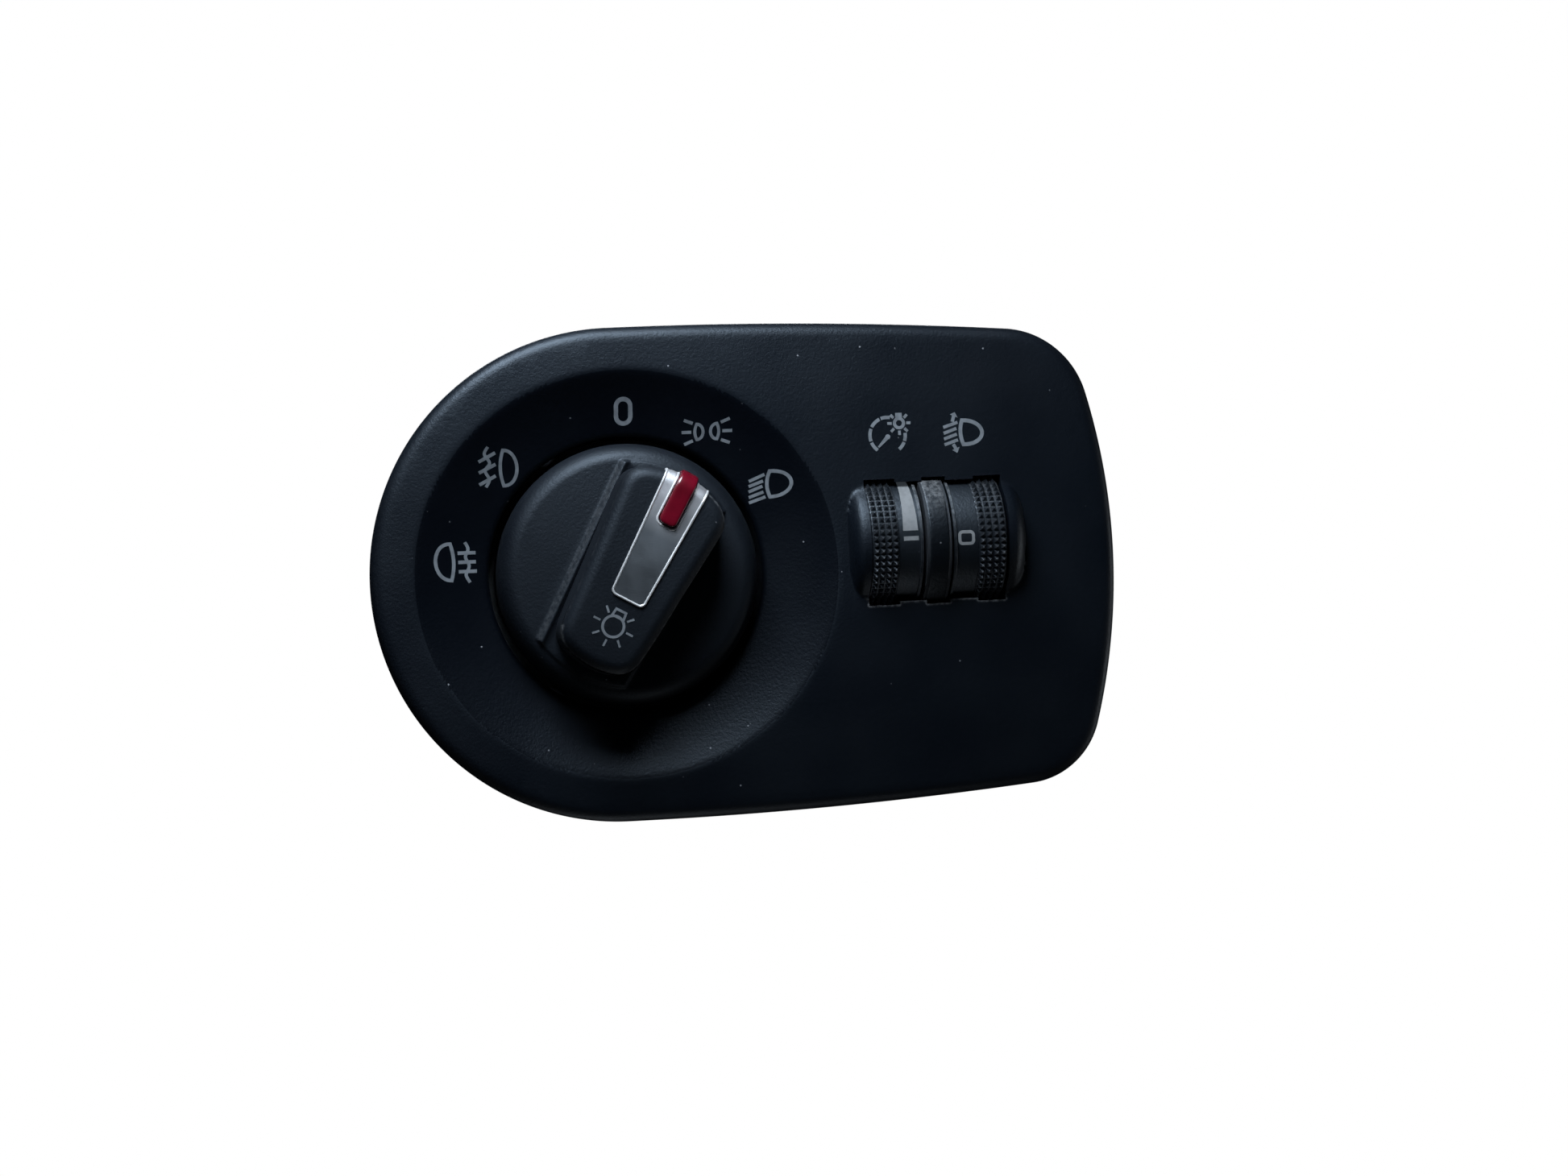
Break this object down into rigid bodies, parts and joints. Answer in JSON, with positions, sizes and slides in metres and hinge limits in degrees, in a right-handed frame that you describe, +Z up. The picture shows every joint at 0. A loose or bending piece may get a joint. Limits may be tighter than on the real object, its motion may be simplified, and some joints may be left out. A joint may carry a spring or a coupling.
{
  "type": "headlight switch",
  "caption": "Car dash light-switch panel: crowned plate with a turn-and-pull knob in a dish and two knurled thumbwheels, with its rear housing and connector.",
  "frame": {"origin": "on the knob's axis at the panel's seating plane, where the plate's rear rim meets the dash", "axes": "+X right along the thumbwheels' axle, +Z up, -Y out of the face towards the driver, +Y into the dash"},
  "size_m": [0.1307, 0.0574, 0.0853],
  "materials": {
    "panel_plastic": "fine grained, matte blue-black",
    "housing_plastic": "plain moulded",
    "inner_plastic": "natural acetal, smooth",
    "screw_steel": "zinc plated",
    "board_laminate": "green solder mask",
    "contact_brass": "tinned stamped brass",
    "led_white": "small lamp body",
    "clear_plastic": "clear acrylic",
    "spring_steel": "spring steel strip",
    "carrier_plastic": "worn matte",
    "track_ceramic": "resistive film on a stamped carrier",
    "rotor_plastic": "natural acetal",
    "knob_plastic": "fine matte, soft to the touch, rubbed edges",
    "chrome_trim": "satin face with bright edges, light scratches",
    "red_lens": "translucent red",
    "wheel_plastic": "knurled, slightly shiny"
  },
  "bodies": {
    "switch_base": {"bearing_plate": "inner_plastic", "circuit_board": "board_laminate", "connector_pins": "contact_brass", "detent_spring": "spring_steel", "dimmer_track": "track_ceramic", "fixed_contacts": "contact_brass", "front_panel": "panel_plastic", "housing_screws": "screw_steel", "indicator_leds": "led_white", "level_track": "track_ceramic", "light_guide": "clear_plastic", "plate_screws": "screw_steel", "rear_housing": "housing_plastic", "spring_clips": "spring_steel", "wheel_axle": "screw_steel", "wheel_carrier": "carrier_plastic"},
    "rotor": {"rotor": "rotor_plastic", "contact_bridge": "contact_brass"},
    "knob": {"knob_body": "knob_plastic", "knob_grip": "knob_plastic", "knob_trim": "chrome_trim", "pointer_lens": "red_lens", "knob_shaft": "inner_plastic", "shaft_clip": "spring_steel"},
    "dimmer_wheel": {"dimmer_wheel": "wheel_plastic", "dimmer_wiper": "contact_brass"},
    "level_wheel": {"level_wheel": "wheel_plastic", "level_wiper": "contact_brass"}
  },
  "joints": [
    {"name": "knob_turn", "type": "hinge", "parent": "switch_base", "child": "rotor", "pos_m": [0, 0, 0], "axis": [0, 1, 0], "range_deg": [-30, 30]},
    {"name": "knob_pull", "type": "slide", "parent": "rotor", "child": "knob", "axis": [0, -1, 0], "range_m": [0, 0.008]},
    {"name": "dimmer_turn", "type": "hinge", "parent": "switch_base", "child": "dimmer_wheel", "pos_m": [0.0461, -0.0004, 0.0035], "axis": [1, 0, 0], "range_deg": [0, 150]},
    {"name": "level_turn", "type": "hinge", "parent": "switch_base", "child": "level_wheel", "pos_m": [0.0608, -0.0004, 0.0035], "axis": [1, 0, 0], "range_deg": [0, 180]}
  ]
}
